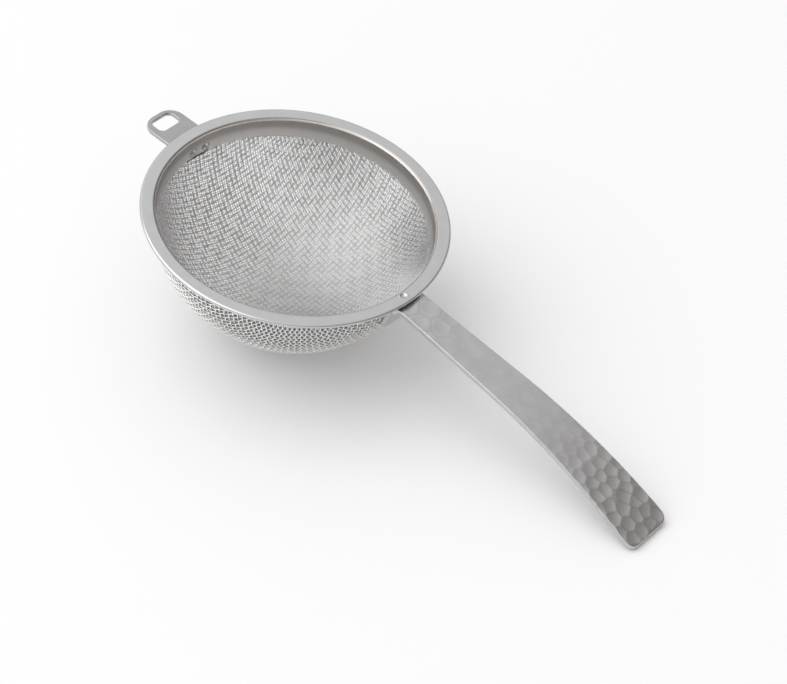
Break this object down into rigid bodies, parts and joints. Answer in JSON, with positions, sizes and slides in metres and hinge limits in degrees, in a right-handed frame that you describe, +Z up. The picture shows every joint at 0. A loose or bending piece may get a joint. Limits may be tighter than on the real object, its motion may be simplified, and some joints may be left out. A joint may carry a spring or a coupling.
{
  "type": "tea strainer",
  "caption": "Stainless steel tea strainer: round basket of fine mesh backed by coarse mesh in a flat rim, with a hammered strap handle and a slotted rest tab.",
  "frame": {"origin": "on the table, below the middle of the strainer's length and width, as it lies on its basket and the handle's end", "axes": "+Z up from the table; +X along the strainer from the rest tab to the handle's end; the rim's top face leans 6.97 degrees towards the handle"},
  "size_m": [0.163, 0.078, 0.0394],
  "materials": {
    "polished_rim": "satin pressed stainless sheet with bright folded edges",
    "fine_wire": "bright drawn stainless wire, fine plain weave",
    "support_wire": "bright drawn stainless wire, coarse plain weave",
    "hammered_handle": "satin stainless strap with hammered hollows",
    "satin_tab": "satin stainless sheet with rounded edges",
    "weld_metal": "spot weld, slightly darkened"
  },
  "bodies": {
    "root": {"rim_ring": "polished_rim", "fine_mesh": "fine_wire", "support_mesh": "support_wire", "handle": "hammered_handle", "rest_tab": "satin_tab", "handle_hem_weld": "weld_metal", "handle_leg_welds": "weld_metal", "rest_tab_welds": "weld_metal"}
  },
  "joints": []
}
